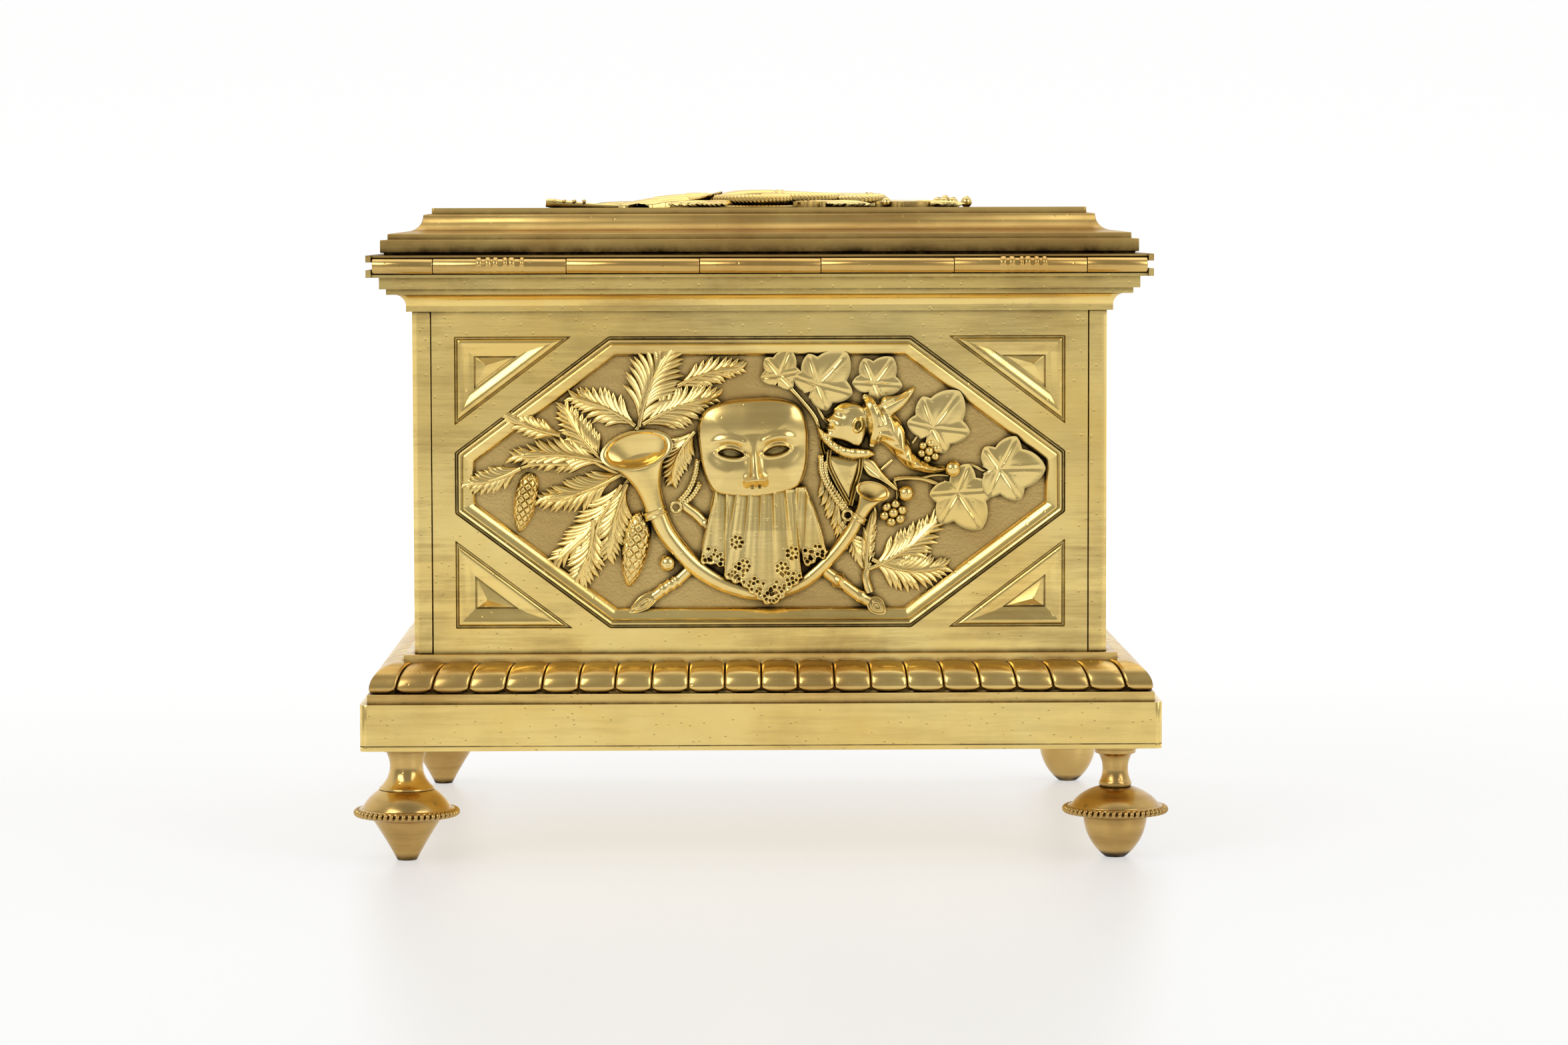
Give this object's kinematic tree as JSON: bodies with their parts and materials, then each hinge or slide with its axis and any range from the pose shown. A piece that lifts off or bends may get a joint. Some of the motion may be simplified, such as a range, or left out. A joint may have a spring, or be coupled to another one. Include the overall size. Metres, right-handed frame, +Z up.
{
  "type": "decorative casket",
  "caption": "Rectangular gilt-bronze casket with relief panels, gadrooned base, turned feet, a stepped lid on a full-length back hinge, a front lock with its key and a padded lining.",
  "frame": {"origin": "under the middle of the casket, on the plane that its feet rest on", "axes": "+Z up, +X along the hinge, +Y from the hinge side to the lock side"},
  "size_m": [0.205, 0.175, 0.1674],
  "materials": {
    "gilt_bronze": "burnished gilding with brown patina in the recesses",
    "gilt_relief": "chased and matted gilding on a stippled ground",
    "turned_gilt": "turned and polished gilding",
    "hinge_brass": "worn gilding",
    "lock_brass": "brushed brass",
    "steel": "plain turned steel",
    "lining_velvet": "deep red velvet",
    "lining_board": "plain board"
  },
  "bodies": {
    "casket": {"bottom_plate": "gilt_bronze", "plinth_band": "gilt_bronze", "bottom_plate_screws": "steel", "foot_neck_1": "turned_gilt", "foot_bulb_1": "turned_gilt", "foot_bead_ring_1": "turned_gilt", "foot_neck_2": "turned_gilt", "foot_bulb_2": "turned_gilt", "foot_bead_ring_2": "turned_gilt", "foot_neck_3": "turned_gilt", "foot_bulb_3": "turned_gilt", "foot_bead_ring_3": "turned_gilt", "foot_neck_4": "turned_gilt", "foot_bulb_4": "turned_gilt", "foot_bead_ring_4": "turned_gilt", "foot_studs": "steel", "foot_nuts": "steel", "gadroon_back": "gilt_bronze", "panel_back": "gilt_bronze", "relief_back": "gilt_relief", "lining_back": "lining_velvet", "gadroon_right": "gilt_bronze", "panel_right": "gilt_bronze", "relief_right": "gilt_relief", "lining_right": "lining_velvet", "gadroon_front": "gilt_bronze", "panel_front": "gilt_bronze", "relief_front": "gilt_relief", "lining_front": "lining_velvet", "gadroon_left": "gilt_bronze", "panel_left": "gilt_bronze", "relief_left": "gilt_relief", "lining_left": "lining_velvet", "corner_post_1": "gilt_bronze", "corner_post_2": "gilt_bronze", "corner_post_3": "gilt_bronze", "corner_post_4": "gilt_bronze", "cornice": "gilt_bronze", "body_rim": "gilt_bronze", "floor_board": "lining_board", "floor_pad": "lining_velvet", "hinge_body_leaf": "hinge_brass", "hinge_pin": "hinge_brass", "hinge_body_screws": "steel", "lock_case": "lock_brass", "lock_cap": "lock_brass", "lock_screws": "steel", "escutcheon": "gilt_bronze"},
    "lid": {"lid_rim": "gilt_bronze", "lid_moulding": "gilt_bronze", "lid_plate": "gilt_bronze", "lid_trophy": "gilt_relief", "lid_board": "lining_board", "lid_pad": "lining_velvet", "hinge_lid_leaf": "hinge_brass", "hinge_lid_screws": "steel", "lock_keeper": "steel", "keeper_screws": "steel"},
    "bolt": {"lock_bolt": "steel"},
    "key": {"key": "lock_brass"}
  },
  "joints": [
    {"name": "lid_hinge", "type": "hinge", "parent": "casket", "child": "lid", "pos_m": [0, -0.0829, 0.14915], "axis": [1, 0, 0], "range_deg": [0, 105]},
    {"name": "key_turn", "type": "hinge", "parent": "casket", "child": "key", "pos_m": [0, 0.0632, 0.1195], "axis": [0, 1, 0], "range_deg": [0, 90]},
    {"name": "bolt_slide", "type": "slide", "parent": "casket", "child": "bolt", "axis": [1, 0, 0], "range_m": [0, 0.00594]}
  ],
  "couplings": [
    {"joint": "key_turn", "follows": "bolt_slide", "rad_per_m": 264.44}
  ]
}
